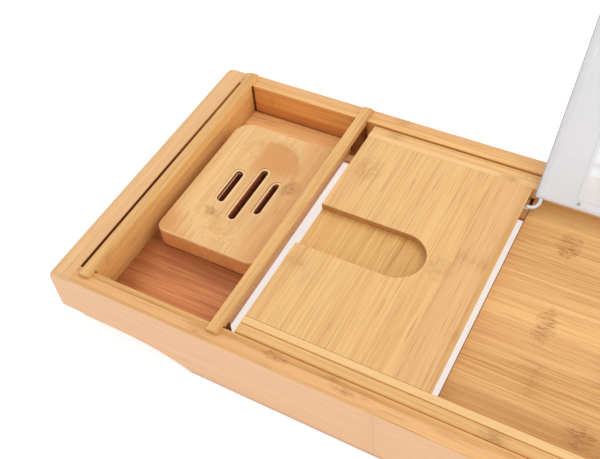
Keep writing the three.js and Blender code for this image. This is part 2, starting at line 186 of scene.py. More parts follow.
def srgb(red, green, blue):
    """A colour as read off a swatch, 0 to 255, in the renderer's own values."""
    values = []
    for part in (red, green, blue):
        part /= 255
        values.append(part / 12.92 if part <= 0.04045 else ((part + 0.055) / 1.055) ** 2.4)
    return (*values, 1.0)


def new_material(name):
    """A material with the wiring of its nodes and its shader."""
    material = bpy.data.materials.new(name)
    material.use_nodes = True
    return material, Wiring(material.node_tree), material.node_tree.nodes["Principled BSDF"]


# Bamboo: strips glued side by side, each with its own tint, long fibres, dark dashes and node marks.
def bamboo_group():
    tree = bpy.data.node_groups.new("bamboo strips", "ShaderNodeTree")
    for name, kind, value in (
        ("Vector", "NodeSocketVector", None),
        ("Strip width", "NodeSocketFloat", 0.02),
        ("Strip depth", "NodeSocketFloat", 0.006),
        ("Node spacing", "NodeSocketFloat", 0.26),
        ("Light", "NodeSocketColor", srgb(244, 203, 142)),
        ("Dark", "NodeSocketColor", srgb(206, 150, 88)),
        ("Blush", "NodeSocketColor", srgb(232, 184, 146)),
        ("Streaks", "NodeSocketFloat", 1.0),
        ("Marks", "NodeSocketFloat", 1.0),
        ("Glue lines", "NodeSocketFloat", 0.12),
        ("Waver", "NodeSocketFloat", 0.0022),
    ):
        socket = tree.interface.new_socket(name, in_out="INPUT", socket_type=kind)
        if value is not None:
            socket.default_value = value
    for name, kind in (
        ("Color", "NodeSocketColor"),
        ("Roughness", "NodeSocketFloat"),
        ("Height", "NodeSocketFloat"),
    ):
        tree.interface.new_socket(name, in_out="OUTPUT", socket_type=kind)
    w = Wiring(tree)
    given = w.add("NodeGroupInput").outputs
    along, across, deep = w.split(given["Vector"])

    # Which strip a point lies in, and three numbers that belong to that strip.
    column = w.math("DIVIDE", across, given["Strip width"])
    layer = w.math("DIVIDE", deep, given["Strip depth"])
    cell = w.join(w.math("FLOOR", column), w.math("FLOOR", layer), 3.7)
    own = w.split(w.scatter(cell)[1])

    # Fibres that run along the strip, wavering a little.
    waver = w.noise(w.join(w.times(along, 9.0), w.times(across, 25.0), own[0]), 1.0)
    shifted = w.plus(across, w.either_side(waver, given["Waver"]))
    shift = w.times(own[1], 40.0)

    def fibres(length, fineness, detail, roughness=0.5):
        spot = w.join(
            w.math("MULTIPLY_ADD", along, length, shift),
            w.times(shifted, fineness),
            w.times(deep, fineness * 1.4),
        )
        return w.noise(spot, detail, roughness)

    fine = fibres(14.0, 1250.0, 2.0, 0.6)
    middling = fibres(7.0, 330.0, 2.0, 0.55)
    broad = fibres(3.0, 90.0, 1.0)
    dashes = w.between(fibres(26.0, 1000.0, 1.0), 0.6, 0.74)

    # Node marks: a soft darker band across a strip with short dashes in it.
    turn = w.plus(w.math("DIVIDE", along, given["Node spacing"]), w.times(own[2], 7.0))
    away = w.math("ABSOLUTE", w.minus(w.math("FRACT", turn), 0.5))
    away = w.times(away, given["Node spacing"])
    ragged = w.noise(w.join(w.times(along, 130.0), w.times(across, 420.0), deep), 2.0)
    away = w.plus(away, w.either_side(ragged, 0.012))
    band = w.between(away, 0.0005, 0.0045, 1.0, 0.0)
    halo = w.between(away, 0.001, 0.012, 1.0, 0.0)
    short = w.noise(w.join(w.times(along, 240.0), w.times(across, 1900.0), deep), 2.0)
    short = w.between(short, 0.5, 0.62)
    mark = w.times(w.times(band, short), given["Marks"])

    # The glue line between two strips.
    edge = w.math("ABSOLUTE", w.minus(w.math("FRACT", column), 0.5))
    edge = w.times(w.minus(0.5, edge), given["Strip width"])
    glue = w.between(edge, 0.0, 0.00045, 1.0, 0.0)

    # How light or dark a point is, from all of these together.
    streak = w.either_side(fine, 1.5)
    for part, share in ((middling, 1.3), (broad, 0.8), (own[0], 0.5)):
        streak = w.plus(streak, w.either_side(part, share))
    streak = w.plus(w.times(streak, given["Streaks"]), 0.42)
    streak = w.add("ShaderNodeClamp", {0: streak}).outputs[0]

    colour = w.blend(streak, given["Light"], given["Dark"])
    colour = w.blend(w.between(own[1], 0.55, 0.95, 0.0, 0.6), colour, given["Blush"])
    brown = w.blend(0.62, given["Dark"], srgb(122, 60, 22))
    smudge = w.times(halo, w.times(middling, given["Marks"]))
    colour = w.blend(w.times(smudge, 0.5), colour, brown)
    shade = w.times(dashes, w.times(given["Streaks"], 0.42))
    colour = w.blend(shade, colour, brown)
    colour = w.blend(w.times(glue, given["Glue lines"]), colour, brown)
    colour = w.blend(w.times(mark, 0.7), colour, brown)

    height = w.minus(w.times(fine, 0.5), w.times(dashes, 0.35))
    height = w.minus(height, w.times(glue, 0.8))
    height = w.minus(height, w.times(mark, 0.5))
    rough = w.plus(0.4, w.times(fine, 0.16))
    rough = w.plus(rough, w.times(mark, 0.12))

    result = w.add("NodeGroupOutput")
    w.put(result.inputs["Color"], colour)
    w.put(result.inputs["Roughness"], rough)
    w.put(result.inputs["Height"], height)
    return tree


BAMBOO = bamboo_group()

# Tones of the bamboo as swatches from 0 to 255: the light one, the dark one and a pinkish one between. Some
# are lighter or darker copies that paint light or shade on one side of a piece, as marked.
TONES = {
    "end": ((242, 198, 136), (212, 158, 96), (232, 182, 132)),
    "frame": ((240, 188, 120), (200, 140, 72), (230, 174, 120)),
    # Painted light: a lighter, pinker copy for the outer faces, for the light the white table throws on them.
    "face": ((241, 198, 148), (217, 162, 114), (237, 186, 146)),
    "bar": ((240, 192, 124), (202, 144, 78), (228, 176, 116)),
    # Painted light: a lighter copy for the sides of the bars.
    "bar face": ((250, 206, 132), (222, 164, 92), (244, 192, 122)),
    "wall": ((250, 184, 106), (216, 138, 66), (238, 168, 100)),
    # A dark brown; on the end board's inner wall it is painted shade for the slit beside the outer bar.
    "end wall": ((140, 84, 44), (92, 48, 22), (120, 66, 36)),
    "tray": ((240, 164, 100), (180, 98, 50), (222, 138, 88)),
    # Painted light: a lighter tone for the back strip of the tray floor, where the dish and the wall shade
    # it.
    "tray back": ((255, 212, 144), (232, 170, 104), (250, 198, 134)),
    "dish": ((240, 196, 136), (212, 160, 98), (232, 182, 130)),
    "dish side": ((246, 184, 118), (216, 142, 80), (238, 170, 112)),
    # Paler: the cane's own tone on the slot rims, and a painted highlight on the dish's eased top edge.
    "rim": ((246, 206, 152), (228, 180, 122), (240, 194, 144)),
    # Painted shade: a very dark brown for the walls and mouths of the dish's slots.
    "slot": ((150, 78, 44), (92, 36, 16), (124, 58, 32)),
    "recess": ((240, 192, 118), (200, 148, 80), (226, 174, 106)),
    # Painted shade: a darker tone for the walls of the panel's recess.
    "recess wall": ((206, 146, 86), (158, 100, 50), (184, 124, 70)),
    "panel": ((236, 188, 124), (204, 150, 86), (230, 176, 126)),
    "rail": ((238, 190, 124), (208, 152, 88), (230, 180, 126)),
    "strip": ((246, 204, 142), (226, 176, 112), (240, 190, 142)),
    "floor": ((240, 190, 122), (190, 128, 64), (226, 168, 110)),
    "plain": ((228, 184, 124), (196, 146, 88), (214, 170, 122)),
}


def bamboo(name, grain, tone, width, depth, seed, spacing=0.26, gloss=0.4, **more):
    """A bamboo with its strips along X or Y, the strips' width and depth in millimetres."""
    material, w, shader = new_material(name)
    shader.inputs["Specular IOR Level"].default_value = gloss
    shader.inputs["Coat Weight"].default_value = gloss / 5
    shader.inputs["Coat Roughness"].default_value = 0.25
    moved = w.add(
        "ShaderNodeMapping",
        {
            "Vector": w.place(),
            "Rotation": (0.0, 0.0, 0.0 if grain == "X" else -math.pi / 2),
            "Location": (0.37 * seed, 0.0031 * seed, 0.0017 * seed),
        },
    ).outputs[0]
    strips = w.add("ShaderNodeGroup", node_tree=BAMBOO)
    light, dark, blush = (srgb(*swatch) for swatch in TONES[tone])
    values = {
        "Vector": moved,
        "Strip width": width * MM,
        "Strip depth": depth * MM,
        "Node spacing": spacing,
        "Light": light,
        "Dark": dark,
        "Blush": blush,
    }
    for key, value in more.items():
        values[key.capitalize().replace("_", " ")] = value
    for key, value in values.items():
        w.put(strips.inputs[key], value)
    w.put(shader.inputs["Base Color"], strips.outputs["Color"])
    w.put(shader.inputs["Roughness"], strips.outputs["Roughness"])
    w.put(shader.inputs["Normal"], w.bump(strips.outputs["Height"], 0.35, 0.00025))
    return material


# The metals and the rubber, each with a fine grain along X, Y and Z and a light and a dark tone.
FINISHES = {
    "bright plated wire": {
        "metallic": 1.0,
        "grain": (500.0, 500.0, 500.0),
        "detail": 2.0,
        "tones": (srgb(206, 208, 212), srgb(226, 227, 230)),
        "roughness": (0.1, 0.2),
        "bump": (0.05, 0.0001),
    },
    "plain steel": {
        "metallic": 1.0,
        "grain": (3000.0, 700.0, 3000.0),
        "detail": 2.0,
        "tones": (srgb(150, 152, 156), srgb(190, 192, 196)),
        "roughness": (0.28, 0.45),
        "bump": (0.1, 0.0001),
    },
    "pad rubber": {
        "metallic": 0.0,
        "grain": (2200.0, 2200.0, 2200.0),
        "detail": 3.0,
        "tones": (srgb(206, 203, 196), srgb(222, 219, 212)),
        "roughness": (0.7, 0.9),
        "bump": (0.3, 0.0002),
    },
}


def plain_finish(name):
    """One tone with a fine unevenness in its colour, its gloss and its surface."""
    finish = FINISHES[name]
    material, w, shader = new_material(name)
    shader.inputs["Metallic"].default_value = finish["metallic"]
    uneven = w.grain(finish["grain"], finish["detail"])
    w.put(shader.inputs["Base Color"], w.blend(uneven, *finish["tones"]))
    w.put(shader.inputs["Roughness"], w.between(uneven, 0.2, 0.8, *finish["roughness"]))
    w.put(shader.inputs["Normal"], w.bump(uneven, *finish["bump"]))
    return material


# The cloth is thin and lets light through, with a plain weave that follows its own map in metres. Its
# hems are doubled, so they look greyer, and a seam runs along their inner edge.
SIDE_HEM = 0.2896
WIRE_HEM = 0.2695
FOLD = 0.2629
LOW_HEM = 0.0155
HIGH_HEM = 0.145
THREAD = 0.0007
STITCH = 0.0026
OPACITY = {"hem": 0.66, "single": 0.64, "wire": 0.72, "thread": 0.1}


def rest_fabric():
    material, w, shader = new_material("pale grey cloth")
    shader.inputs["Sheen Weight"].default_value = 0.15
    shader.inputs["Sheen Roughness"].default_value = 0.5
    shader.inputs["Specular IOR Level"].default_value = 0.25
    shader.inputs["Roughness"].default_value = 0.8
    over, up, _ = w.split(w.add("ShaderNodeUVMap", uv_map="cloth").outputs[0])
    warp = w.math("SINE", w.times(over, 2 * math.pi / THREAD))
    weft = w.math("SINE", w.times(up, 2 * math.pi / THREAD))
    weave = w.times(warp, weft)
    slub = w.noise(w.join(w.times(over, 60.0), w.times(up, 1400.0)), 2.0)
    cloud = w.noise(w.join(w.times(over, 45.0), w.times(up, 30.0)), 2.0)
    tone = w.plus(w.times(slub, 0.5), w.times(cloud, 0.5))
    tone = w.plus(tone, w.times(weave, 0.12))

    # How far in from the hems a point is, and the stitches that run beside them.
    middle = LENGTH * MM / 2
    from_side = w.minus(middle, w.math("ABSOLUTE", w.minus(over, middle)))
    inward = w.minus(from_side, SIDE_HEM)
    upward = w.minus(up, LOW_HEM)
    downward = w.minus(HIGH_HEM, up)
    into = w.math("MINIMUM", inward, w.math("MINIMUM", upward, downward))
    single = w.between(into, -0.0001, 0.0001)
    seam = w.between(w.math("ABSOLUTE", w.plus(into, 0.0011)), 0.0002, 0.0006, 1.0, 0.0)
    run = w.times(w.plus(over, up), 2 * math.pi / STITCH)
    seam = w.times(seam, w.between(w.math("SINE", run), -0.5, 0.1))

    doubled = w.blend(tone, srgb(241, 241, 244), srgb(252, 252, 254))
    thin = w.blend(tone, srgb(246, 247, 249), srgb(254, 254, 255))
    colour = w.blend(single, doubled, thin)
    colour = w.blend(w.times(seam, 0.3), colour, srgb(176, 177, 184))
    # Painted shade: the outer fold round the wire is a darker grey, for the shade where the cloth turns away
    # round it.
    shaded_fold = w.between(from_side, FOLD, FOLD + 0.0004, 1.0, 0.0)
    w.put(shader.inputs["Base Color"], w.blend(shaded_fold, colour, srgb(196, 197, 201)))
    height = w.minus(weave, w.times(seam, 2.0))
    w.put(shader.inputs["Normal"], w.bump(height, 0.3, 0.0001))
    opaque = w.between(single, 0.0, 1.0, OPACITY["hem"], OPACITY["single"])
    round_wire = w.between(from_side, WIRE_HEM, WIRE_HEM + 0.0012, OPACITY["wire"], 0.0)
    opaque = w.math("MAXIMUM", opaque, round_wire)
    w.put(shader.inputs["Alpha"], w.plus(opaque, w.times(weave, OPACITY["thread"])))
    return material


# Tones laid over a bamboo: painted shade where the light, a corner or a gap makes it darker, painted light
# where shade is lifted, and the cane's own node marks.
def stain_and_shade(material, amount, colour):
    """Blends another colour over a material's own, by an amount worked out from the place on the piece."""
    w = Wiring(material.node_tree)
    base = material.node_tree.nodes["Principled BSDF"].inputs["Base Color"]
    plain = base.links[0].from_socket
    w.put(base, w.blend(amount(w), plain, colour))
    return material


def painted_depth_shade(material):
    """Painted shade: the walls of a compartment darken towards its floor, where less light reaches."""

    def amount(w):
        height = w.split(w.place())[2]
        return w.between(height, at(0, 0, -27).z, at(0, 0, -7).z, 0.3, 0.0)

    return stain_and_shade(material, amount, srgb(128, 68, 28))


def bar_face_place(side):
    """Where the inner face of the outer bar stands along the caddy."""
    low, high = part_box(side + "_tray_outer_bar")
    return high.x if side == "left" else low.x


def painted_corner_shade(material, side):
    """Painted shade: the tray's floor darkens beside the outer bar and, in the left tray, in front of the
    dish, where they shade it.
    """
    dish_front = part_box("soap_dish")[0].y

    def amount(w):
        ragged = w.either_side(w.grain((40.0, 160.0, 40.0)), 0.02)
        over, back, _ = w.split(w.place())
        from_bar = w.math("ABSOLUTE", w.minus(over, bar_face_place(side)))
        beside = w.between(w.plus(from_bar, ragged), 0.0, 0.034, 0.62, 0.0)
        if side == "right":
            return beside
        ahead = w.plus(w.minus(dish_front, back), ragged)
        return w.math("MAXIMUM", beside, w.between(ahead, 0.0, 0.03, 0.5, 0.0))

    return stain_and_shade(material, amount, srgb(116, 58, 28))


def painted_gap_shade(material, side):
    """Painted shade: a dark upright line on the side board's wall where the end of the outer bar stands just
    clear of it, for the shade in that gap.
    """

    def amount(w):
        over = w.split(w.place())[0]
        from_bar = w.math("ABSOLUTE", w.minus(over, bar_face_place(side)))
        return w.between(from_bar, 0.0007, 0.0017, 0.85, 0.0)

    return stain_and_shade(material, amount, srgb(74, 36, 16))


# Where the cane had its joints: x, y, half a mark's reach along X and half its reach along Y.
MARKS = {
    "board": ((167, 9, 12, 4), (215, 6, 16, 3)),
    "panel": ((148, 172, 14, 14), (229, 112, 11, 12)),
    "dish": ((102, 140, 10, 9), (61, 101, 7, 6)),
    "floor": ((295, 173, 9, 13), (300, 106, 8, 17), (341, 43, 12, 10)),
}


def node_marks(material, grain, strength, spots, side="left"):
    """A soft darker patch with dashes along the grain at each of the spots."""
    fineness = (260.0, 1500.0, 300.0) if grain == "X" else (1500.0, 260.0, 300.0)

    def amount(w):
        place = w.place()
        dashes = w.between(w.grain(fineness), 0.46, 0.64)
        cloud = w.either_side(w.grain((170.0, 170.0, 170.0)), 1.8)
        near = 0.0
        for x, y, half_x, half_y in spots:
            over, back, _ = w.split(w.vector("SUBTRACT", place, tuple(at(from_end(side, x), y, 0))))
            over = w.math("DIVIDE", over, half_x * MM)
            back = w.math("DIVIDE", back, half_y * MM)
            apart = w.plus(w.times(over, over), w.times(back, back))
            apart = w.plus(apart, cloud)
            near = w.math("MAXIMUM", near, w.between(apart, 0.1, 1.0, 1.0, 0.0))
        return w.times(near, w.between(dashes, 0.0, 1.0, strength * 0.25, strength))

    return stain_and_shade(material, amount, srgb(150, 88, 40))


def painted_shading_band(material, start, end, strength, colour):
    """Painted shade with a darker colour, painted light with a lighter one: a tone that fades out along the
    depth of the caddy, between two places in millimetres.
    """

    def amount(w):
        ragged = w.either_side(w.grain((14.0, 60.0, 10.0)), 0.012)
        back = w.plus(w.split(w.place())[1], ragged)
        return w.between(back, at(0, start, 0).y, at(0, end, 0).y, strength, 0.0)

    return stain_and_shade(material, amount, colour)


# Painted shade on the dish: it is more orange in an arc at the back of the hollow, where the slope faces away
# from the light, and along the right side, which the divider shades; the front left corner is more orange
# too.
# Places are in metres from that corner, and a pair is where a tone begins and ends.
DISH_TINT_AND_SHADE = {
    "middle": 0.04,
    "arc": 0.0835,
    "arc_edge": (0.0245, 0.0275),
    "arc_front": (0.072, 0.092),
    "arc_left": (0.02, 0.036),
    "right_side": (0.058, 0.068),
    "corner": (0.008, 0.04),
}


def dish_tint_and_shade(material):
    """Painted shade on the dish, and its more orange front left corner."""

    def amount(w):
        over, back, _ = w.split(w.vector("SUBTRACT", w.place(), tuple(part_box("soap_dish")[0])))
        ragged = w.either_side(w.grain((300.0, 60.0, 200.0)), 0.012)
        ragged_over = w.plus(over, ragged)
        aside = w.minus(over, DISH_TINT_AND_SHADE["middle"])
        beyond = w.math("MAXIMUM", w.minus(back, DISH_TINT_AND_SHADE["arc"]), 0.0)
        squares = w.plus(w.math("POWER", aside, 2.0), w.math("POWER", beyond, 2.0))
        inside = w.between(w.math("SQRT", squares), *DISH_TINT_AND_SHADE["arc_edge"], 1.0, 0.0)
        front = w.between(w.plus(back, ragged), *DISH_TINT_AND_SHADE["arc_front"])
        left = w.between(ragged_over, *DISH_TINT_AND_SHADE["arc_left"])
        arc = w.times(inside, w.times(front, left))
        from_corner = w.plus(w.plus(over, back), w.times(ragged, 2.0))
        corner = w.between(from_corner, *DISH_TINT_AND_SHADE["corner"], 1.0, 0.0)
        right_side = w.between(ragged_over, *DISH_TINT_AND_SHADE["right_side"], 0.0, 0.45)
        spots = w.math("MAXIMUM", w.times(arc, 0.72), w.times(corner, 0.8))
        return w.math("MAXIMUM", spots, right_side)

    return stain_and_shade(material, amount, srgb(212, 144, 76))


# Shapes are made from blocks, outlines and rods, and then eased and carved.
def edges_where(bm, test):
    """Edges for which test(middle, direction) holds, in millimetres from the corner."""
    chosen = []
    for edge in bm.edges:
        a, b = ((v.co - CORNER) / MM for v in edge.verts)
        if test((a + b) / 2, (b - a).normalized()):
            chosen.append(edge)
    return chosen


def ease(bm, edges, radius, segments=3):
    if edges:
        bmesh.ops.bevel(
            bm,
            geom=edges,
            offset=radius * MM,
            segments=segments,
            profile=0.5,
            affect="EDGES",
            material=-1,
            clamp_overlap=True,
        )


def ease_where(bm, test, radius, segments=3):
    ease(bm, edges_where(bm, test), radius, segments)


def block(bm, low, high):
    made = bmesh.ops.create_cube(bm, size=1.0)["verts"]
    size = Vector(high) - Vector(low)
    middle = (Vector(high) + Vector(low)) / 2
    bmesh.ops.scale(bm, vec=size * MM, verts=made)
    bmesh.ops.translate(bm, vec=at(*middle), verts=made)


def of_kind(parts, kind):
    return [part for part in parts if isinstance(part, kind)]


def pushed(bm, outline, way):
    """A flat outline given by its corners, pushed into a solid."""
    face = bm.faces.new([bm.verts.new(at(*p)) for p in outline])
    grown = bmesh.ops.extrude_face_region(bm, geom=[face])["geom"]
    bmesh.ops.translate(bm, vec=Vector(way) * MM, verts=of_kind(grown, bmesh.types.BMVert))


def cut_across(bm, place, way, clear=False):
    """Cuts a shape along a plane and, where asked, clears what lies beyond it."""
    everything = bm.verts[:] + bm.edges[:] + bm.faces[:]
    bmesh.ops.bisect_plane(bm, geom=everything, plane_co=place, plane_no=way, clear_outer=clear)


def rod(bm, start, end, radius, sides=24):
    """A round bar along X from start to end."""
    middle = at(*((Vector(start) + Vector(end)) / 2))
    bmesh.ops.create_cone(
        bm,
        cap_ends=True,
        segments=sides,
        radius1=radius * MM,
        radius2=radius * MM,
        depth=(end[0] - start[0]) * MM,
        matrix=Matrix.Translation(middle) @ Matrix.Rotation(math.pi / 2, 4, "Y"),
    )


def new_object(bm, name, closed=True):
    """Makes a shape an object, with the faces of a closed one turned outwards."""
    if closed:
        bmesh.ops.recalc_face_normals(bm, faces=bm.faces)
    mesh = bpy.data.meshes.new(name)
    bm.to_mesh(mesh)
    bm.free()
    return linked(name, mesh)


def carve(piece, cutters):
    """Takes the cutters out of the piece and leaves the result as its mesh."""
    for cutter in cutters:
        cut = piece.modifiers.new("cut", "BOOLEAN")
        cut.operation = "DIFFERENCE"
        cut.solver = "EXACT"
        cut.object = cutter
    shaped = piece.evaluated_get(bpy.context.evaluated_depsgraph_get())
    mesh = bpy.data.meshes.new_from_object(shaped)
    piece.modifiers.clear()
    piece.data = mesh
    for cutter in cutters:
        bpy.data.objects.remove(cutter)


def shade(piece, angle=40, weighted=True):
    """Smooth faces with sharp edges where they meet at more than the angle."""
    piece.data.shade_smooth()
    piece.data.set_sharp_from_angle(angle=math.radians(angle))
    if weighted:
        flat = piece.modifiers.new("flat faces", "WEIGHTED_NORMAL")
        flat.keep_sharp = True


def fit(piece, node, material):
    """Gives the piece its finish and puts it in the place of a node."""
    piece.data.materials.clear()
    piece.data.materials.append(material)
    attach(piece, BODIES[node])
    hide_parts(node)
    return piece


def finished(bm, node, ending, material, angle=40):
    """A shape made an object, shaded and put in the place of a node."""
    piece = new_object(bm, node + ending)
    shade(piece, angle)
    return fit(piece, node, material)


def finish_faces(piece, material, test):
    """Gives a second finish to the faces for which test(middle, normal) holds, in millimetres."""
    slot = len(piece.data.materials)
    piece.data.materials.append(material)
    for face in piece.data.polygons:
        if test((face.center - CORNER) / MM, face.normal):
            face.material_index = slot


# A hair's breadth, for telling whether two places are the same. Glued boards are drawn a little larger
# than their solids, so that no two of their faces lie in one plane.
HAIR = 0.01
GLUE_LINE = 0.13


def grown_box(name, grow=GLUE_LINE):
    low, high = node_box(name)
    by = Vector((grow, grow, grow))
    return low - by, high + by


def board(name, material, edge=0.6, grow=GLUE_LINE):
    """A plain board with eased edges."""
    bm = bmesh.new()
    block(bm, *grown_box(name, grow))
    ease(bm, list(bm.edges), edge, 2)
    return finished(bm, name, "_eased", material)


# The end frames.
GROOVE = {"start": 125, "end": 366, "top": -14, "bottom": -22, "depth": 5}


def end_board(side, material, face, wall):
    """A board with a wide round crown outside, a small round foot and a crisp inner edge."""
    name = side + "_end_board"
    low, high = node_box(name)
    outer = from_end(side, END["outer"])
    inner = from_end(side, END["inner"])
    bm = bmesh.new()
    block(bm, low, high)
    for z, radius, segments in ((high.z, END["crown"], 12), (low.z, END["foot"], 6)):
        ease_where(
            bm,
            lambda m, d: abs(d.y) > 0.9 and abs(m.x - outer) < 1 and abs(m.z - z) < 1,
            radius,
            segments,
        )
    ease_where(
        bm,
        lambda m, d: not HAIR < m.y < WIDTH - HAIR and abs(m.x - inner) > 0.1,
        END["corner"],
        4,
    )
    ease_where(bm, lambda m, d: abs(m.x - inner) < HAIR and abs(d.y) > 0.9, 0.35, 2)
    piece = finished(bm, name, "_rounded", material)
    # Painted light: the front and back faces take the lighter, pinker face bamboo.
    finish_faces(piece, face, lambda m, n: abs(n.y) > 0.75)
    # Painted shade: the inner face, seen down the slit beside the outer bar, takes the dark wall bamboo.
    finish_faces(piece, wall, lambda m, n: abs(m.x - inner) < 0.1 and abs(n.x) > 0.9)


# The lower edge of a side board from its end inwards: level, then a soft step down in two curves.
SHALLOW = -39.5
DEEP = -52.5
STEP = (
    ((45, SHALLOW), (58, SHALLOW), (70, -41.2), (80, -44)),
    ((80, -44), (87, -46), (94.5, -48.8), (102, DEEP)),
)


def step_curve():
    """The places along the lower edge, as X and Z."""
    points = []
    for curve in STEP:
        run = interpolate_bezier(*[Vector((*p, 0)) for p in curve], 12)
        points += [(p.x, p.y) for p in run][1 if points else 0 :]
    return points


def side_board(side, where, material, face, wall):
    """A front or back board with a stepped lower edge and a groove for the slide blocks."""
    name = side + "_" + where + "_board"
    low, high = node_box(name)
    end_x, middle_x = low.x - GLUE_LINE * 2, high.x + GLUE_LINE
    if side == "right":
        end_x, middle_x = high.x + GLUE_LINE * 2, low.x - GLUE_LINE
    outline = [(end_x, low.y, 0), (end_x, low.y, SHALLOW)]
    outline += [(from_end(side, x), low.y, z) for x, z in step_curve()]
    outline += [(middle_x, low.y, DEEP), (middle_x, low.y, 0)]
    bm = bmesh.new()
    pushed(bm, outline, (0, high.y - low.y, 0))
    inner, outer, into = (high.y, low.y, -1) if where == "front" else (low.y, high.y, 1)
    ease_where(bm, lambda m, d: abs(d.x) > 0.5 and abs(m.y - outer) < 0.1, 1.0, 4)
    ease_where(bm, lambda m, d: abs(d.x) > 0.5 and abs(m.y - inner) < 0.1, 0.7, 3)
    piece = new_object(bm, name + "_shaped")
    groove = bmesh.new()
    ys = sorted((inner + into * GROOVE["depth"], inner - into))
    xs = sorted((from_end(side, GROOVE["start"]), from_end(side, GROOVE["end"])))
    block(groove, (xs[0], ys[0], GROOVE["bottom"]), (xs[1], ys[1], GROOVE["top"]))
    carve(piece, [new_object(groove, "groove")])
    shade(piece)
    fit(piece, name, material)
    # Painted light: the outer face takes the lighter, pinker face bamboo.
    finish_faces(piece, face, lambda m, n: n.y * into > 0.75 and abs(m.y - outer) < 0.8)
    finish_faces(piece, wall, lambda m, n: n.y * into < -0.9)


# The hanging trays.
CROSS = {"front": 14.6, "back": 215.4, "bar_bottom": -31, "slat_bottom": -2.8}
FLANGE = {"front": 6.5, "back": 228, "under": 0.3, "top": 3.0}
TRAY_SEAM = 182


def cross_board(name, bottom, corner, material, face):
    """The outer bar or the divider slat: its flange laps over the side boards."""
    low, high = node_box(name)
    profile = [
        (CROSS["front"], bottom),
        (CROSS["back"], bottom),
        (CROSS["back"], FLANGE["under"]),
        (FLANGE["back"], FLANGE["under"]),
        (FLANGE["back"], FLANGE["top"]),
        (FLANGE["front"], FLANGE["top"]),
        (FLANGE["front"], FLANGE["under"]),
        (CROSS["front"], FLANGE["under"]),
    ]
    bm = bmesh.new()
    pushed(bm, [(low.x, y, z) for y, z in profile], (high.x - low.x, 0, 0))
    ease_where(bm, lambda m, d: abs(d.z) > 0.9 and m.z > FLANGE["under"], corner)
    ease_where(bm, lambda m, d: m.z > FLANGE["top"] - 0.1, 0.7)
    ease_where(bm, lambda m, d: m.z < bottom + 0.1, 0.5, 2)
    piece = finished(bm, name, "_shaped", material)
    # The sides take the face finish; on the outer bar it is a lighter copy that paints light on them.
    finish_faces(piece, face, lambda m, n: abs(n.x) > 0.9)


def tray_floor(side, material, lit_back_material, end_material):
    """The tray's dark floor, with a lighter back strip that is painted light where the dish and the wall
    shade the floor.
    """
    name = side + "_tray_floor"
    bm = bmesh.new()
    block(bm, *grown_box(name))
    ease(bm, list(bm.edges), 0.3, 2)
    cut_across(bm, at(0, TRAY_SEAM, 0), (0, 1, 0))
    piece = finished(bm, name, "_eased", material)
    finish_faces(piece, lit_back_material, lambda m, n: m.y > TRAY_SEAM)
    finish_faces(piece, end_material, lambda m, n: abs(n.x) > 0.9)


# The soap dish: a rounded block, scooped out, with three drain slots whose rims follow the scoop.
DISH = {"x": 75.3, "y": 127.2, "front_corner": 7, "back_corner": 12.5, "edge": 1.6}
HOLLOW = {"half_width": 28.5, "straight": 48, "depth": 7}
SLOT = {
    "width": 3.9,
    "pitch": 15.2,
    "long": 50,
    "short": 30,
    "mouth": 1.3,
    "mouth_depth": 1.6,
    "rim": 2.8,
    "rim_depth": 0.3,
}


def slot_cutter(x, y, width, length, low, high):
    """An upright slot with round ends, standing from low to high."""
    bm = bmesh.new()
    half = width / 2
    block(bm, (x - half, y - length / 2, low), (x + half, y + length / 2, high))
    ease_where(bm, lambda m, d: abs(d.z) > 0.9, half - HAIR, 8)
    return bm


def lean_cutter(bm, x, y, surface, slope):
    """Leans a slot with the slope of the hollow there."""
    bmesh.ops.rotate(bm, cent=at(x, y, surface), matrix=Matrix.Rotation(slope, 3, "Y"), verts=bm.verts)
    return bm


def rim_cutter(x, y, length, surface, slope):
    """The shallow sunk band round a slot."""
    wide = 2 * SLOT["rim"]
    bm = slot_cutter(x, y, SLOT["width"] + wide, length + wide, surface - SLOT["rim_depth"], surface + 1)
    return lean_cutter(bm, x, y, surface, slope)


def flared_cutter(x, y, length, surface, slope):
    """The slot's mouth, with walls that open upwards."""
    deep = SLOT["mouth_depth"] + SLOT["rim_depth"]
    bm = slot_cutter(x, y, SLOT["width"], length, surface - deep, surface + 0.5)
    half = SLOT["width"] / 2
    for v in bm.verts:
        place = (v.co - CORNER) / MM
        if place.z > surface:
            spine_y = min(max(place.y, y - length / 2 + half), y + length / 2 - half)
            outward = Vector((place.x - x, place.y - spine_y, 0)).normalized()
            v.co += outward * SLOT["mouth"] * MM
    return lean_cutter(bm, x, y, surface, slope)


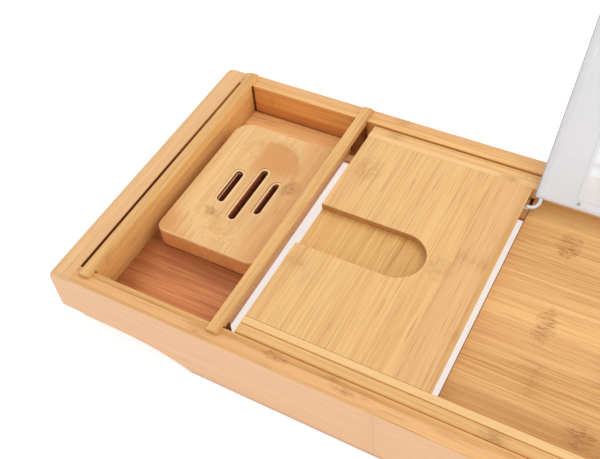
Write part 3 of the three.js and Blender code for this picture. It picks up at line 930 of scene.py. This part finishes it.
def soap_dish(material, rim, side_finish, slot_shade):
    """The dish in four finishes: its top; its eased edges and slot rims, paler, with a painted highlight on
    the edges; its sides; and the walls of its slots, in painted shade.
    """
    low, high = node_box("soap_dish")
    x, y = DISH["x"], DISH["y"]
    bm = bmesh.new()
    block(bm, low, high)
    ease_where(bm, lambda m, d: abs(d.z) > 0.9 and m.y < y, DISH["front_corner"], 8)
    ease_where(bm, lambda m, d: abs(d.z) > 0.9 and m.y > y, DISH["back_corner"], 10)
    ease_where(bm, lambda m, d: abs(m.z - high.z) < HAIR or abs(m.z - low.z) < HAIR, DISH["edge"], 5)
    piece = new_object(bm, "soap_dish_scooped")

    depth = HOLLOW["depth"]
    radius = (HOLLOW["half_width"] ** 2 + depth**2) / (2 * depth)

    def scooped(aside):
        """The height of the hollow's surface at a distance from its middle line."""
        return high.z - depth + radius - math.sqrt(radius**2 - aside**2)

    scoop = bmesh.new()
    bmesh.ops.create_uvsphere(
        scoop,
        u_segments=160,
        v_segments=101,
        radius=radius * MM,
        matrix=Matrix.Rotation(math.pi / 2, 4, "X"),
    )
    for v in scoop.verts:
        v.co.y += math.copysign(HOLLOW["straight"] / 2 * MM, v.co.y)
    bmesh.ops.translate(scoop, vec=at(x, y, high.z - depth + radius), verts=scoop.verts)

    cutters = [new_object(scoop, "scoop")]
    slots = ((-SLOT["pitch"], SLOT["short"]), (0, SLOT["long"]), (SLOT["pitch"], SLOT["short"]))
    for aside, length in slots:
        surface = scooped(aside)
        slope = -math.asin(aside / radius)
        through = slot_cutter(x + aside, y, SLOT["width"], length, low.z - 1, high.z + 1)
        cutters.append(new_object(through, "slot"))
        cutters.append(new_object(flared_cutter(x + aside, y, length, surface, slope), "mouth"))
        cutters.append(new_object(rim_cutter(x + aside, y, length, surface, slope), "rim"))
    carve(piece, cutters)
    shade(piece, 22)
    fit(piece, "soap_dish", material)

    def slot_distance(m):
        """How far a point is from the nearest slot's wall, inwards negative."""
        gaps = []
        for aside, length in slots:
            beyond = max(abs(m.y - y) - (length - SLOT["width"]) / 2, 0)
            gaps.append(math.hypot(m.x - x - aside, beyond) - SLOT["width"] / 2)
        return min(gaps)

    def from_middle(m):
        """How far a point is from the hollow's middle line."""
        return math.hypot(m.x - x, max(abs(m.y - y) - HOLLOW["straight"] / 2, 0))

    def in_hollow(m):
        return from_middle(m) <= HOLLOW["half_width"] - 1

    def sunk(m):
        return in_hollow(m) and m.z < scooped(from_middle(m)) - 0.08

    def in_slot(m, n):
        gap = slot_distance(m)
        return sunk(m) and (gap < SLOT["mouth"] and n.z < 0.9 or n.z < 0.6)

    def on_edge(m, n):
        inset = min(m.x - low.x, high.x - m.x, m.y - low.y, high.y - m.y)
        return 0.25 < n.z < 0.93 and m.z > high.z - DISH["edge"] and inset < 5

    finish_faces(piece, side_finish, lambda m, n: abs(n.z) < 0.6 and not in_hollow(m))
    # Painted highlight: the eased top edge takes the paler rim bamboo.
    finish_faces(piece, rim, on_edge)
    finish_faces(piece, rim, lambda m, n: n.z > 0.6 and sunk(m))
    # Painted shade: the slot walls and mouths take the very dark brown.
    finish_faces(piece, slot_shade, in_slot)


# The centre unit.
PANEL = {"start": 134.6, "end": 258.9, "undercut": 2.4}
RECESS = {"front": 92.5, "back": 130, "reach": 83.7, "depth": 5.9, "fillet": 1.6}
PIVOT = {"y": 189.5, "z": -5.5, "depth": 6, "radius": 1.9, "play": 0.3}

# The seats for the prop's foot, across the top of the back rail and its strip.
SEAT = {"places": (205.6, 209.9, 213.4), "start": 299.5, "z": -0.35, "radius": 1.8}


def panel(side, material, sunk, wall):
    """A panel with an inner edge that slopes back underneath and a recess with a round end."""
    name = side + "_panel"
    low, high = grown_box(name)
    section = [
        (PANEL["start"] - GLUE_LINE, high.z),
        (PANEL["start"] - GLUE_LINE, low.z),
        (PANEL["end"] - PANEL["undercut"] + GLUE_LINE, low.z),
        (PANEL["end"] + GLUE_LINE, high.z),
    ]
    bm = bmesh.new()
    pushed(bm, [(from_end(side, x), low.y, z) for x, z in section], (0, high.y - low.y, 0))
    piece = new_object(bm, name + "_recessed")

    half = (RECESS["back"] - RECESS["front"]) / 2
    open_end = from_end(side, PANEL["start"] - 2)
    round_end = from_end(side, PANEL["start"] + RECESS["reach"])
    xs = sorted((open_end, round_end))
    floor_z = high.z - RECESS["depth"]
    pocket = bmesh.new()
    block(pocket, (xs[0], RECESS["front"], floor_z), (xs[1], RECESS["back"], high.z + 1))
    ease_where(pocket, lambda m, d: abs(d.z) > 0.9 and abs(m.x - round_end) < 0.1, half - HAIR, 16)
    ease_where(
        pocket,
        lambda m, d: abs(m.z - floor_z) < HAIR and abs(m.x - open_end) > 0.1,
        RECESS["fillet"],
        4,
    )

    hole = bmesh.new()
    towards = 1 if side == "left" else -1
    inner = from_end(side, PANEL["end"])
    ends = sorted((inner - (PIVOT["depth"] + PIVOT["play"]) * towards, inner + towards))
    rod(hole, (ends[0], PIVOT["y"], PIVOT["z"]), (ends[1], PIVOT["y"], PIVOT["z"]), PIVOT["radius"])
    carve(piece, [new_object(pocket, "pocket"), new_object(hole, "hole")])

    bm = bmesh.new()
    bm.from_mesh(piece.data)
    ease_where(bm, lambda m, d: abs(m.z - high.z) < 0.02 and low.y + 1 < m.y < high.y - 1, 0.45, 2)
    bm.to_mesh(piece.data)
    bm.free()
    shade(piece)
    fit(piece, name, material)

    def in_recess(m):
        return RECESS["front"] - 0.1 < m.y < RECESS["back"] + 0.1 and floor_z - 0.1 < m.z < high.z - 1

    def on_outer_side(m):
        return abs(m.x - from_end(side, PANEL["start"])) <= 1

    finish_faces(piece, sunk, lambda m, n: in_recess(m) and n.z > 0.5)
    # Painted shade: the recess walls take the darker bamboo.
    finish_faces(piece, wall, lambda m, n: in_recess(m) and abs(n.z) <= 0.5 and not on_outer_side(m))


def rail_piece(name, material, edge):
    """A rail or its inner strip; the two at the back have the seats cut in."""
    bm = bmesh.new()
    low, high = grown_box(name)
    block(bm, low, high)
    ease_where(bm, lambda m, d: abs(d.x) > 0.9, edge, 4)
    ease_where(bm, lambda m, d: m.x < low.x + 0.1 or m.x > high.x - 0.1, 0.4, 2)
    piece = new_object(bm, name + "_eased")
    if name.startswith("back"):
        cutters = []
        for y in SEAT["places"]:
            seat = bmesh.new()
            ends = [(x, y, SEAT["z"]) for x in (SEAT["start"], LENGTH - SEAT["start"])]
            rod(seat, *ends, SEAT["radius"], 32)
            cutters.append(new_object(seat, "seat"))
        carve(piece, cutters)
    shade(piece)
    fit(piece, name, material)


# The book rest, laid out by height up its slope and by lift off its plane towards the reader.
LEAN = math.radians(40.4)
UP_SLOPE = Vector((0, math.cos(LEAN), math.sin(LEAN)))
TO_READER = Vector((0, -math.sin(LEAN), math.cos(LEAN)))
REST = {"left": 266.9, "stub": 252.9, "height": 160, "bend": 6, "corner": 12, "wire": 1.6}
HEM_ROD = {"height": 11, "play": 0.3}
PROP = {"height": 40, "lift": -3.4, "left": 305, "eye": 3.3, "bend": 6, "wire": 1.5}
RIVET = {"inset": 24, "height": 12, "lift": 2.55, "radius": 1.1, "flatness": 0.55, "foot": 0.02}


def on_rest(x, height, lift=0.0):
    """A place on the book rest in millimetres from the corner."""
    return Vector((x, PIVOT["y"], PIVOT["z"])) + UP_SLOPE * height + TO_READER * lift


def bent(corners, radii, steps=12):
    """Straight runs joined by round bends."""
    points = [corners[0]]
    for i, radius in enumerate(radii, 1):
        here = corners[i]
        back = (corners[i - 1] - here).normalized()
        ahead = (corners[i + 1] - here).normalized()
        half = back.angle(ahead) / 2
        centre = here + (back + ahead).normalized() * (radius / math.sin(half))
        start = here + back * (radius / math.tan(half)) - centre
        end = here + ahead * (radius / math.tan(half)) - centre
        points += [centre + start.slerp(end, k / steps).normalized() * radius for k in range(steps + 1)]
    points.append(corners[-1])
    return points


def wire(name, points, radius, material, node):
    """A round wire along the points, made a mesh."""
    curve = bpy.data.curves.new(name, "CURVE")
    curve.dimensions = "3D"
    curve.bevel_depth = radius * MM
    curve.bevel_resolution = 5
    curve.use_fill_caps = True
    spline = curve.splines.new("POLY")
    spline.points.add(len(points) - 1)
    for point, place in zip(spline.points, points):
        point.co = (*at(*place), 1.0)
    rough = linked(name, curve)
    shaped = rough.evaluated_get(bpy.context.evaluated_depsgraph_get())
    mesh = bpy.data.meshes.new_from_object(shaped)
    bpy.data.objects.remove(rough)
    piece = linked(name, mesh)
    shade(piece, 50, weighted=False)
    fit(piece, node, material)


def rest_frame(material):
    """The bent frame with its two stubs, the rod in the lower hem and the bar for the prop."""
    left, right = REST["left"], LENGTH - REST["left"]
    corners = [
        on_rest(REST["stub"], 0),
        on_rest(left, 0),
        on_rest(left, REST["height"]),
        on_rest(right, REST["height"]),
        on_rest(right, 0),
        on_rest(LENGTH - REST["stub"], 0),
    ]
    points = bent(corners, [REST["bend"], REST["corner"], REST["corner"], REST["bend"]])
    wire("rest_frame_bent", points, REST["wire"], material, "rest_frame_wire")
    gap = REST["wire"] + HEM_ROD["play"]
    hem = [on_rest(x, HEM_ROD["height"]) for x in (left + gap, right - gap)]
    wire("rest_hem_rod", hem, REST["wire"], material, "rest_hem_wire")
    ends = (left - REST["wire"], right + REST["wire"])
    bar = [on_rest(x, PROP["height"], PROP["lift"]) for x in ends]
    wire("rest_prop_rod", bar, PROP["wire"], material, "rest_prop_bar")


def prop(material):
    """The prop turns on the bar by two open eyes, and its foot stands in the middle seat."""
    pivot = on_rest(0, PROP["height"], PROP["lift"])
    foot = Vector((SEAT["places"][1], SEAT["z"]))
    reach = (foot - Vector((pivot.y, pivot.z))).length
    leg = math.sqrt(reach**2 - PROP["eye"] ** 2)
    angle = math.atan2(foot.y - pivot.z, foot.x - pivot.y) + math.atan2(PROP["eye"], leg)
    c, s = math.cos(angle), math.sin(angle)

    def spot(x, along, aside):
        """A place by its distance from the pivot along the leg and beside it."""
        return Vector((x, pivot.y + along * c + aside * s, pivot.z + along * s - aside * c))

    def eye(x):
        turns = [math.radians(270 - 22.5 * k) for k in range(13)]
        return [spot(x, -PROP["eye"] * math.cos(a), -PROP["eye"] * math.sin(a)) for a in turns]

    left, right = PROP["left"], LENGTH - PROP["left"]
    corners = [
        spot(left, 0, PROP["eye"]),
        spot(left, leg, PROP["eye"]),
        spot(right, leg, PROP["eye"]),
        spot(right, 0, PROP["eye"]),
    ]
    points = list(reversed(eye(left)))[:-1] + bent(corners, [PROP["bend"]] * 2) + eye(right)[1:]
    wire("rest_prop_bent", points, PROP["wire"], material, "rest_prop")


# The cloth: from where to where it runs up the slope, its lifts off the wire's plane, and its widths.
CLOTH = {
    "start": 8,
    "end": 160,
    "front": 2.25,
    "back": -2.2,
    "hem": 24.4,
    "pocket": 4.4,
    "fine": 25,
    "thick": 0.5,
    "rows": 76,
}


def cloth_section():
    """Across the cloth: the hem's hidden layer, the loose pocket round the wire, the front, then mirrored."""
    left = REST["left"]
    front, back, hem, pocket, fine = (CLOTH[k] for k in ("front", "back", "hem", "pocket", "fine"))
    half = [(left + hem, front - 0.7), (left + hem - 2.0, front - 0.9)]
    half += [(left + hem - k * hem / 8, back) for k in range(2, 9)]
    half += [(left - pocket / 2, back * 0.62), (left - pocket + 0.4, -0.5), (left - pocket, 0)]
    half += [(left - pocket + 0.4, 0.5), (left - pocket / 2, front * 0.62)]
    half += [(left + fine * k / 8, front) for k in range(9)]
    middle_run = LENGTH - 2 * (left + fine)
    middle = [(left + fine + middle_run * k / 40, front) for k in range(1, 40)]
    return half + middle + [(LENGTH - x, lift) for x, lift in reversed(half)]


def rest_cloth(material):
    """The cloth's section drawn up the slope row by row, with a map of it in metres."""
    section = cloth_section()
    bm = bmesh.new()
    low_row = [bm.verts.new(at(*on_rest(x, CLOTH["start"], lift))) for x, lift in section]
    run = [bm.edges.new(pair) for pair in zip(low_row, low_row[1:])]
    step = UP_SLOPE * ((CLOTH["end"] - CLOTH["start"]) / CLOTH["rows"] * MM)
    for _ in range(CLOTH["rows"]):
        grown = bmesh.ops.extrude_edge_only(bm, edges=run)["geom"]
        bmesh.ops.translate(bm, vec=step, verts=of_kind(grown, bmesh.types.BMVert))
        edges = of_kind(grown, bmesh.types.BMEdge)
        run = [e for e in edges if abs((e.verts[0].co - e.verts[1].co).dot(UP_SLOPE)) < 1e-6]
    bm.normal_update()
    uv = bm.loops.layers.uv.new("cloth")
    for face in bm.faces:
        for loop in face.loops:
            place = (loop.vert.co - CORNER) / MM
            height = (place - on_rest(0, 0)).dot(UP_SLOPE)
            loop[uv].uv = (place.x * MM, height * MM)
    piece = new_object(bm, "rest_cloth_sewn", closed=False)
    piece.data.shade_smooth()
    thick = piece.modifiers.new("thickness", "SOLIDIFY")
    thick.thickness = CLOTH["thick"] * MM
    thick.offset = 0
    fit(piece, "rest_cloth", material)


def rivet(side, material):
    """A flat dome that sits on the cloth near its lower corner."""
    bm = bmesh.new()
    bmesh.ops.create_uvsphere(bm, u_segments=24, v_segments=16, radius=RIVET["radius"] * MM)
    cut_across(bm, (0, 0, RIVET["foot"] * MM), (0, 0, -1), clear=True)
    bmesh.ops.holes_fill(bm, edges=[e for e in bm.edges if e.is_boundary], sides=0)
    bmesh.ops.scale(bm, vec=(1, 1, RIVET["flatness"]), verts=bm.verts)
    bmesh.ops.rotate(bm, matrix=Matrix.Rotation(LEAN, 3, "X"), verts=bm.verts)
    foot = on_rest(from_end(side, REST["left"] + RIVET["inset"]), RIVET["height"], RIVET["lift"])
    bmesh.ops.translate(bm, vec=at(*foot), verts=bm.verts)
    finished(bm, side + "_rest_rivet", "_domed", material, angle=50)


# Everything is made in the order of the piece list. A bamboo is given by its grain, its tone, the width
# and depth of its strips and a number that shifts its pattern.
bright = plain_finish("bright plated wire")
steel = plain_finish("plain steel")
pads = plain_finish("pad rubber")
hidden = bamboo("planed bamboo", "X", "plain", 18, 9, 2, streaks=0.7, marks=0.6)
post_wood = bamboo("post bamboo", "Y", "end wall", 18, 9, 2, gloss=0.05, streaks=0.7, marks=0.0)
dark_end_faces = bamboo("darkened end grain", "Y", "end wall", 18, 9, 3, streaks=0.7, marks=0.0)
# Painted shade for the inside of the dish's slots.
slot_shade = bamboo("scorched slot", "Y", "slot", 42, 3.5, 9, streaks=0.8, marks=0.0)
# A paler bamboo: the slot rims' own tone and a painted highlight on the dish's edges.
dish_rim_and_highlight = bamboo("dish rim bamboo", "Y", "rim", 42, 60, 9, streaks=0.5, marks=0.0)


def end_frame(side, seed):
    # Painted shade: the end board's inner wall is dark brown, and the painted shade fades to a lighter tone
    # towards the back.
    wall = bamboo(side + " end wall bamboo", "Y", "end wall", 30, 60, 2 + seed, marks=0.3)
    face = bamboo(side + " end face bamboo", "X", "face", 20, 60, 4 + seed, streaks=0.5, marks=0.2)
    wood = bamboo(side + " end bamboo", "Y", "end", 6.6, 60, 1 + seed, spacing=0.5, streaks=0.8, marks=0.25)
    painted_shading_band(wall, 240, 90, 0.75, srgb(236, 176, 110))
    end_board(side, wood, face, wall)
    for step, where in enumerate(("front", "back")):
        name = side + " " + where
        wood = bamboo(name + " bamboo", "X", "frame", 6.6, 60, 3 + step + seed, spacing=0.34, marks=0.7)
        face = bamboo(name + " face bamboo", "X", "face", 20, 60, 4 + step + seed, streaks=0.5, marks=0.2)
        wall = bamboo(name + " wall bamboo", "X", "wall", 20, 12, 6 + step + seed, marks=0.2)
        node_marks(wood, "X", 0.6, MARKS["board"], side)
        # The inner wall gets painted shade towards the floor and a painted dark line for the shade in the gap
        # at the bar's end.
        side_board(side, where, wood, face, painted_gap_shade(painted_depth_shade(wall), side))
        name = side + "_" + where
        board(name + "_ledge", hidden)
        board(name + "_packer", hidden)
        board(side + "_tray_" + where + "_post", post_wood, edge=0.3)
        board(name + "_slide_block", hidden, grow=0)
        board(name + "_pad", pads, edge=0.4, grow=0)


def tray(side, seed):
    bars = bamboo(side + " bar bamboo", "Y", "bar", 8.6, 11, 5 + seed, spacing=0.5, marks=0.3)
    lit_bar_face = bamboo(side + " bar face bamboo", "Y", "bar face", 30, 11, 5 + seed, streaks=1.2, marks=0.3)
    # The outer bar's sides take a lighter copy of its bamboo, painted light, with painted shade towards the
    # tray floor.
    cross_board(side + "_tray_outer_bar", CROSS["bar_bottom"], 1.1, bars, painted_depth_shade(lit_bar_face))
    cross_board(side + "_tray_divider", CROSS["slat_bottom"], 0.5, bars, bars)
    wood = bamboo(side + " tray floor bamboo", "X", "tray", 22, 60, 7 + seed, waver=0.005)
    # Painted light: the back strip of the floor takes a lighter bamboo.
    lit_back_wood = bamboo(side + " tray back bamboo", "X", "tray back", 22, 60, 7 + seed, waver=0.005)
    # Painted shade on the floor beside the outer bar and in front of the dish.
    tray_floor(side, painted_corner_shade(wood, side), lit_back_wood, hidden)


def side_panel(side, seed):
    wood = bamboo(side + " panel bamboo", "Y", "panel", 20.7, 60, 8 + seed, spacing=0.52, marks=0.6)
    sunk = bamboo(side + " recess bamboo", "Y", "recess", 60, 60, 8 + seed, streaks=1.2, marks=0.0)
    # Painted shade: a darker bamboo for the recess walls.
    wall = bamboo(side + " recess wall bamboo", "Y", "recess wall", 20.7, 60, 8 + seed, marks=0.0)
    node_marks(wood, "Y", 0.32, MARKS["panel"], side)
    panel(side, wood, sunk, wall)


for side, seed in (("left", 0), ("right", 11)):
    end_frame(side, seed)
    tray(side, seed)
    side_panel(side, seed)
    rivet(side, steel)

# Painted shade on the dish top: the back of the hollow and the right side.
dish_wood = dish_tint_and_shade(bamboo("dish bamboo", "Y", "dish", 42, 3.5, 9, streaks=0.8, marks=0.5))
node_marks(dish_wood, "Y", 0.7, MARKS["dish"])
dish_side = bamboo("dish side bamboo", "Y", "dish side", 42, 60, 9, streaks=0.9, marks=0.2)
soap_dish(dish_wood, dish_rim_and_highlight, dish_side, slot_shade)
for step, where in enumerate(("front", "back")):
    rail_wood = bamboo(where + " rail bamboo", "X", "rail", 30, 60, 12 + step, spacing=0.4, streaks=0.8)
    strip_wood = bamboo(where + " strip bamboo", "X", "strip", 30, 60, 15 + step, spacing=0.4, streaks=0.5)
    rail_piece(where + "_rail", rail_wood, 1.4 if where == "front" else 0.5)
    rail_piece(where + "_strip", strip_wood, 0.6)
    board(where + "_bearer", hidden)
floor_wood = bamboo("floor bamboo", "X", "floor", 23, 60, 18, glue_lines=0.2, marks=0.5)
# Painted shade in a band behind the front rail, which shades the floor, and painted light at the back, which
# lifts the cloth's shadow.
painted_shading_band(floor_wood, 40, 58, 0.36, srgb(150, 92, 42))
painted_shading_band(floor_wood, 200, 178, 0.7, srgb(255, 206, 132))
node_marks(floor_wood, "X", 0.75, MARKS["floor"])
centre_floor = board("centre_floor", floor_wood)
# The floor's end faces are dark brown, which draws a thin dark line along the gap beside the panel.
finish_faces(centre_floor, dark_end_faces, lambda m, n: abs(n.x) > 0.3)

rest_frame(bright)
prop(bright)
rest_cloth(rest_fabric())

for name, node in frame["nodes"].items():
    for ending, material in (("_dowel", hidden), ("_screw", steel)):
        if name.endswith(ending):
            node.data.materials.clear()
            node.data.materials.append(material)


# The white table, which lies a little below the pads, and the light.
TABLE = {"size": 6.0, "gap": 0.0003, "glow": 0.68}


def seen_directly(w):
    """One for rays from the camera and for those that come by way of metal, gloss or a thin cloth."""
    ray = w.add("ShaderNodeLightPath").outputs
    straight = w.math("MAXIMUM", ray["Is Camera Ray"], ray["Is Transmission Ray"])
    return w.math("MAXIMUM", straight, ray["Is Glossy Ray"])


def add_floor():
    bm = bmesh.new()
    bmesh.ops.create_grid(bm, x_segments=1, y_segments=1, size=TABLE["size"])
    bmesh.ops.translate(bm, vec=(0, 0, -TABLE["gap"]), verts=bm.verts)
    floor = new_object(bm, "table_top")
    material, w, shader = new_material("white table")
    material.node_tree.nodes.remove(shader)
    plain = w.add("ShaderNodeBsdfDiffuse", {"Color": (0.86, 0.86, 0.86, 1)}).outputs[0]
    pale = w.add("ShaderNodeBsdfDiffuse", {"Color": (0.49, 0.53, 0.6, 1)}).outputs[0]
    glow = w.add("ShaderNodeEmission", {"Color": (1, 1, 1, 1), "Strength": TABLE["glow"]}).outputs[0]
    shown = w.add("ShaderNodeAddShader", {0: pale, 1: glow}).outputs[0]
    mixed = w.add("ShaderNodeMixShader", {0: seen_directly(w), 1: plain, 2: shown}).outputs[0]
    w.put(material.node_tree.nodes["Material Output"].inputs["Surface"], mixed)
    floor.data.materials.append(material)


# The even light of the room, and the lamps: place, aim, size and power.
ROOM_STRENGTH = 0.86
LAMPS = (
    ("back window", (0.62, 0.5, 1.45), (-0.1, 0, 0), 1.1, 9.2),
    ("table glow", (0, 0, 0.002), (0, 0, 1), 1.1, 1.6),
)


def add_light():
    world = bpy.data.worlds.new("soft room")
    bpy.context.scene.world = world
    world.use_nodes = True
    tree = world.node_tree
    w = Wiring(tree)
    room = tree.nodes["Background"]
    room.inputs["Color"].default_value = (1, 1, 1, 1)
    room.inputs["Strength"].default_value = ROOM_STRENGTH
    white = w.add("ShaderNodeBackground", {"Color": (1, 1, 1, 1), "Strength": 1.0}).outputs[0]
    mixed = w.add("ShaderNodeMixShader", {0: seen_directly(w), 1: room.outputs[0], 2: white}).outputs[0]
    w.put(tree.nodes["World Output"].inputs["Surface"], mixed)

    for name, place, aim, size, power in LAMPS:
        data = bpy.data.lights.new(name, "AREA")
        data.shape = "SQUARE"
        data.size = size
        data.energy = power
        lamp = linked(name, data)
        lamp.location = place
        lamp.rotation_mode = "QUATERNION"
        lamp.rotation_quaternion = (Vector(aim) - Vector(place)).to_track_quat("-Z", "Y")
        lamp.visible_camera = False
        lamp.visible_glossy = False
        lamp.visible_transmission = False


add_floor()
add_light()
bpy.context.scene.view_settings.view_transform = "Standard"
